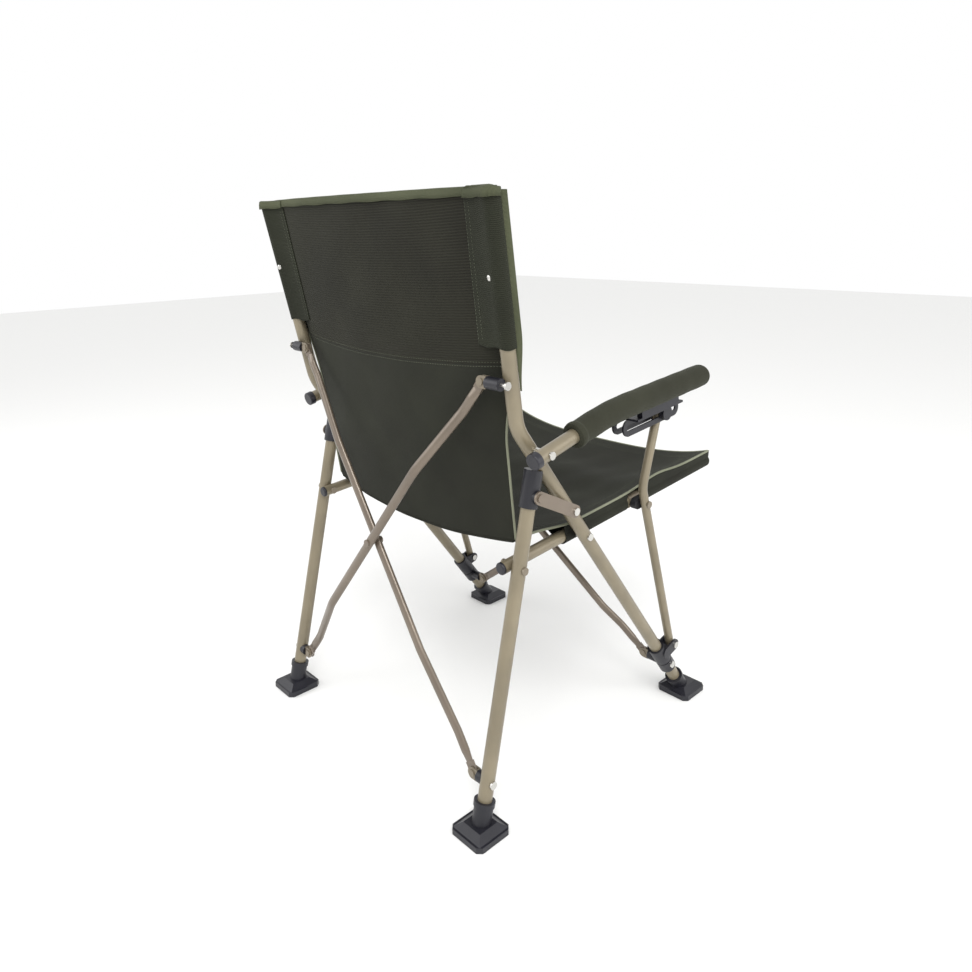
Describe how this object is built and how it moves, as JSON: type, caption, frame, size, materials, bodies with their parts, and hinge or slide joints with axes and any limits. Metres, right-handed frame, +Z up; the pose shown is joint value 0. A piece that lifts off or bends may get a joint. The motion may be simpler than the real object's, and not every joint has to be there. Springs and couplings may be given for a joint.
{
  "type": "folding camp chair",
  "caption": "Folding camp chair: tube side frames joined by crossed braces, slung cloth seat and back, padded arms with slotted brackets, square plastic feet.",
  "frame": {"origin": "on the floor under the middle of the chair, as it stands open", "axes": "+Z up; the sitter faces -Y; the sitter's right is -X"},
  "size_m": [0.629, 0.6526, 0.913],
  "materials": {
    "frame_paint": "satin",
    "brace_paint": "satin",
    "bracket_steel": "satin",
    "black_plastic": "matte",
    "black_rubber": "matte",
    "pad_cover": "matte",
    "cloth": "matte"
  },
  "bodies": {
    "front_leg_right": {"front_leg_tube_right": "frame_paint", "front_foot_right": "black_plastic", "front_collar_right": "black_plastic", "upright_cap_right": "black_plastic", "leg_bolts_right": "bracket_steel", "back_cloth": "cloth"},
    "rear_leg_right": {"rear_leg_tube_right": "frame_paint", "rear_leg_head_right": "black_plastic", "rear_foot_right": "black_plastic", "rear_leg_bolt_right": "bracket_steel"},
    "link_right": {"link_bar_right": "brace_paint"},
    "seat_rail_right": {"seat_rail_right": "frame_paint", "seat_rail_caps_right": "black_plastic", "rail_clamp_right": "bracket_steel", "post_block_right": "black_rubber", "seat_cloth": "cloth"},
    "arm_post_right": {"arm_post_right": "frame_paint"},
    "slider_right": {"slider_right": "black_plastic", "slider_screws_right": "bracket_steel"},
    "arm_right": {"arm_tube_right": "frame_paint", "arm_cap_right": "black_plastic", "arm_pad_right": "pad_cover", "arm_bracket_right": "black_plastic"},
    "slide_block_right": {"slide_block_right": "black_plastic"},
    "front_lower_bracket_right": {"front_lower_bracket_right": "bracket_steel"},
    "front_upper_bracket_right": {"front_upper_bracket_right": "bracket_steel"},
    "rear_upper_bracket_right": {"rear_upper_bracket_right": "bracket_steel"},
    "rear_lower_bracket_right": {"rear_lower_bracket_right": "bracket_steel"},
    "front_brace_right": {"front_brace_right": "brace_paint"},
    "rear_brace_right": {"rear_brace_right": "brace_paint"},
    "front_leg_left": {"front_leg_tube_left": "frame_paint", "front_foot_left": "black_plastic", "front_collar_left": "black_plastic", "upright_cap_left": "black_plastic", "leg_bolts_left": "bracket_steel"},
    "rear_leg_left": {"rear_leg_tube_left": "frame_paint", "rear_leg_head_left": "black_plastic", "rear_foot_left": "black_plastic", "rear_leg_bolt_left": "bracket_steel"},
    "link_left": {"link_bar_left": "brace_paint"},
    "seat_rail_left": {"seat_rail_left": "frame_paint", "seat_rail_caps_left": "black_plastic", "rail_clamp_left": "bracket_steel", "post_block_left": "black_rubber"},
    "arm_post_left": {"arm_post_left": "frame_paint"},
    "slider_left": {"slider_left": "black_plastic", "slider_screws_left": "bracket_steel"},
    "arm_left": {"arm_tube_left": "frame_paint", "arm_cap_left": "black_plastic", "arm_pad_left": "pad_cover", "arm_bracket_left": "black_plastic"},
    "slide_block_left": {"slide_block_left": "black_plastic"},
    "front_lower_bracket_left": {"front_lower_bracket_left": "bracket_steel"},
    "front_upper_bracket_left": {"front_upper_bracket_left": "bracket_steel"},
    "rear_upper_bracket_left": {"rear_upper_bracket_left": "bracket_steel"},
    "rear_lower_bracket_left": {"rear_lower_bracket_left": "bracket_steel"},
    "front_brace_left": {"front_brace_left": "brace_paint"},
    "rear_brace_left": {"rear_brace_left": "brace_paint"}
  },
  "joints": [
    {"name": "fold", "type": "hinge", "parent": "front_leg_right", "child": "seat_rail_right", "pos_m": [-0.24, 0.06495, 0.39415], "axis": [-1, 0, 0], "range_deg": [0, 68], "deforming": ["seat_cloth", "back_cloth"]},
    {"name": "rear_leg_right_hinge", "type": "hinge", "parent": "seat_rail_right", "child": "rear_leg_right", "pos_m": [-0.261, 0.20848, 0.38261], "axis": [-1, 0, 0], "range_deg": [-42.07, 0.02]},
    {"name": "link_right_hinge", "type": "hinge", "parent": "front_leg_right", "child": "link_right", "pos_m": [-0.28, 0.10508, 0.4478], "axis": [-1, 0, 0], "range_deg": [-0.02, 99.26]},
    {"name": "arm_post_right_hinge", "type": "hinge", "parent": "seat_rail_right", "child": "arm_post_right", "pos_m": [-0.27, -0.08955, 0.40659], "axis": [-1, 0, 0], "range_deg": [-66.92, 0.02]},
    {"name": "slider_right_travel", "type": "slide", "parent": "front_leg_right", "child": "slider_right", "axis": [0, 0.599, 0.8007], "range_m": [-0.0001, 0.17142]},
    {"name": "arm_right_hinge", "type": "hinge", "parent": "front_leg_right", "child": "arm_right", "pos_m": [-0.295, 0.18774, 0.55831], "axis": [-1, 0, 0], "range_deg": [-0.02, 35.99]},
    {"name": "slide_block_right_travel", "type": "slide", "parent": "arm_right", "child": "slide_block_right", "axis": [0, -0.9954, 0.0958], "range_m": [-0.06706, 0.0001]},
    {"name": "front_bracket_right_swivel", "type": "hinge", "parent": "front_leg_right", "child": "front_lower_bracket_right", "pos_m": [-0.265, -0.16987, 0.08027], "axis": [-1, 0, 0], "range_deg": [-0.02, 13.55]},
    {"name": "front_brace_right_hinge", "type": "hinge", "parent": "front_lower_bracket_right", "child": "front_brace_right", "pos_m": [-0.22, -0.16987, 0.08027], "axis": [0, 0.9958, -0.0919], "range_deg": [-40.63, 0.02]},
    {"name": "front_brace_crossing", "type": "hinge", "parent": "front_brace_right", "child": "front_brace_left", "pos_m": [0, -0.15463, 0.24543], "axis": [0, 0.9958, -0.0919], "range_deg": [-0.02, 81.25]},
    {"name": "front_brace_left_hinge", "type": "hinge", "parent": "front_brace_left", "child": "front_lower_bracket_left", "pos_m": [0.22, -0.16987, 0.08027], "axis": [0, 0.9958, -0.0919], "range_deg": [-40.63, 0.02]},
    {"name": "front_bracket_left_swivel", "type": "hinge", "parent": "front_lower_bracket_left", "child": "front_leg_left", "pos_m": [0.265, -0.16987, 0.08027], "axis": [-1, 0, 0], "range_deg": [-13.55, 0.02]},
    {"name": "seat_rail_left_hinge", "type": "hinge", "parent": "front_leg_left", "child": "seat_rail_left", "pos_m": [0.24, 0.06495, 0.39415], "axis": [-1, 0, 0], "range_deg": [-0.02, 68.02]},
    {"name": "rear_leg_left_hinge", "type": "hinge", "parent": "seat_rail_left", "child": "rear_leg_left", "pos_m": [0.261, 0.20848, 0.38261], "axis": [-1, 0, 0], "range_deg": [-42.07, 0.02]},
    {"name": "link_left_hinge", "type": "hinge", "parent": "front_leg_left", "child": "link_left", "pos_m": [0.28, 0.10508, 0.4478], "axis": [-1, 0, 0], "range_deg": [-0.02, 99.26]},
    {"name": "arm_post_left_hinge", "type": "hinge", "parent": "seat_rail_left", "child": "arm_post_left", "pos_m": [0.27, -0.08955, 0.40659], "axis": [-1, 0, 0], "range_deg": [-66.92, 0.02]},
    {"name": "slider_left_travel", "type": "slide", "parent": "front_leg_left", "child": "slider_left", "axis": [0, 0.599, 0.8007], "range_m": [-0.0001, 0.17142]},
    {"name": "arm_left_hinge", "type": "hinge", "parent": "front_leg_left", "child": "arm_left", "pos_m": [0.295, 0.18774, 0.55831], "axis": [-1, 0, 0], "range_deg": [-0.02, 35.99]},
    {"name": "slide_block_left_travel", "type": "slide", "parent": "arm_left", "child": "slide_block_left", "axis": [0, -0.9954, 0.0958], "range_m": [-0.06706, 0.0001]},
    {"name": "front_upper_bracket_left_hinge", "type": "hinge", "parent": "front_brace_right", "child": "front_upper_bracket_left", "pos_m": [0.22, -0.13939, 0.4106], "axis": [0, 0.9958, -0.0919], "range_deg": [-0.02, 40.63]},
    {"name": "front_upper_bracket_right_hinge", "type": "hinge", "parent": "front_brace_left", "child": "front_upper_bracket_right", "pos_m": [-0.22, -0.13939, 0.4106], "axis": [0, 0.9958, -0.0919], "range_deg": [-40.63, 0.02]},
    {"name": "rear_bracket_right_swivel", "type": "hinge", "parent": "front_leg_right", "child": "rear_upper_bracket_right", "pos_m": [-0.265, 0.24842, 0.66278], "axis": [-1, 0, 0], "range_deg": [-0.02, 19.5]},
    {"name": "rear_brace_right_hinge", "type": "hinge", "parent": "rear_upper_bracket_right", "child": "rear_brace_right", "pos_m": [-0.232, 0.24842, 0.66278], "axis": [0, 0.9987, 0.0504], "range_deg": [-0.02, 27.32]},
    {"name": "rear_lower_bracket_left_hinge", "type": "hinge", "parent": "rear_brace_right", "child": "rear_lower_bracket_left", "pos_m": [0.232, 0.27814, 0.07438], "axis": [0, 0.9987, 0.0504], "range_deg": [-27.32, 0.02]},
    {"name": "rear_bracket_left_swivel", "type": "hinge", "parent": "front_leg_left", "child": "rear_upper_bracket_left", "pos_m": [0.265, 0.24842, 0.66278], "axis": [-1, 0, 0], "range_deg": [-0.02, 19.5]},
    {"name": "rear_brace_left_hinge", "type": "hinge", "parent": "rear_upper_bracket_left", "child": "rear_brace_left", "pos_m": [0.232, 0.24842, 0.66278], "axis": [0, 0.9987, 0.0504], "range_deg": [-27.32, 0.02]},
    {"name": "rear_lower_bracket_right_hinge", "type": "hinge", "parent": "rear_brace_left", "child": "rear_lower_bracket_right", "pos_m": [-0.232, 0.27814, 0.07438], "axis": [0, 0.9987, 0.0504], "range_deg": [-0.02, 27.32]}
  ],
  "couplings": [
    {"joint": "rear_leg_right_hinge", "follows": "fold", "ratio": -0.61839},
    {"joint": "link_right_hinge", "follows": "fold", "ratio": 1.4594},
    {"joint": "arm_post_right_hinge", "follows": "fold", "ratio": -0.98387},
    {"joint": "slider_right_travel", "follows": "fold", "m_per_rad": 0.14435},
    {"joint": "arm_right_hinge", "follows": "fold", "ratio": 0.52898},
    {"joint": "slide_block_right_travel", "follows": "fold", "m_per_rad": -0.056415},
    {"joint": "front_bracket_right_swivel", "follows": "fold", "ratio": 0.19904},
    {"joint": "front_brace_right_hinge", "follows": "fold", "ratio": -0.59725},
    {"joint": "front_brace_crossing", "follows": "fold", "ratio": 1.1945},
    {"joint": "front_brace_left_hinge", "follows": "fold", "ratio": -0.59725},
    {"joint": "front_bracket_left_swivel", "follows": "fold", "ratio": -0.19904},
    {"joint": "seat_rail_left_hinge", "follows": "fold", "ratio": 1},
    {"joint": "rear_leg_left_hinge", "follows": "fold", "ratio": -0.61839},
    {"joint": "link_left_hinge", "follows": "fold", "ratio": 1.4594},
    {"joint": "arm_post_left_hinge", "follows": "fold", "ratio": -0.98387},
    {"joint": "slider_left_travel", "follows": "fold", "m_per_rad": 0.14435},
    {"joint": "arm_left_hinge", "follows": "fold", "ratio": 0.52898},
    {"joint": "slide_block_left_travel", "follows": "fold", "m_per_rad": -0.056415},
    {"joint": "front_upper_bracket_left_hinge", "follows": "fold", "ratio": 0.59725},
    {"joint": "front_upper_bracket_right_hinge", "follows": "fold", "ratio": -0.59725},
    {"joint": "rear_bracket_right_swivel", "follows": "fold", "ratio": 0.28653},
    {"joint": "rear_brace_right_hinge", "follows": "fold", "ratio": 0.40151},
    {"joint": "rear_lower_bracket_left_hinge", "follows": "fold", "ratio": -0.40151},
    {"joint": "rear_bracket_left_swivel", "follows": "fold", "ratio": 0.28653},
    {"joint": "rear_brace_left_hinge", "follows": "fold", "ratio": -0.40151},
    {"joint": "rear_lower_bracket_right_hinge", "follows": "fold", "ratio": 0.40151}
  ]
}
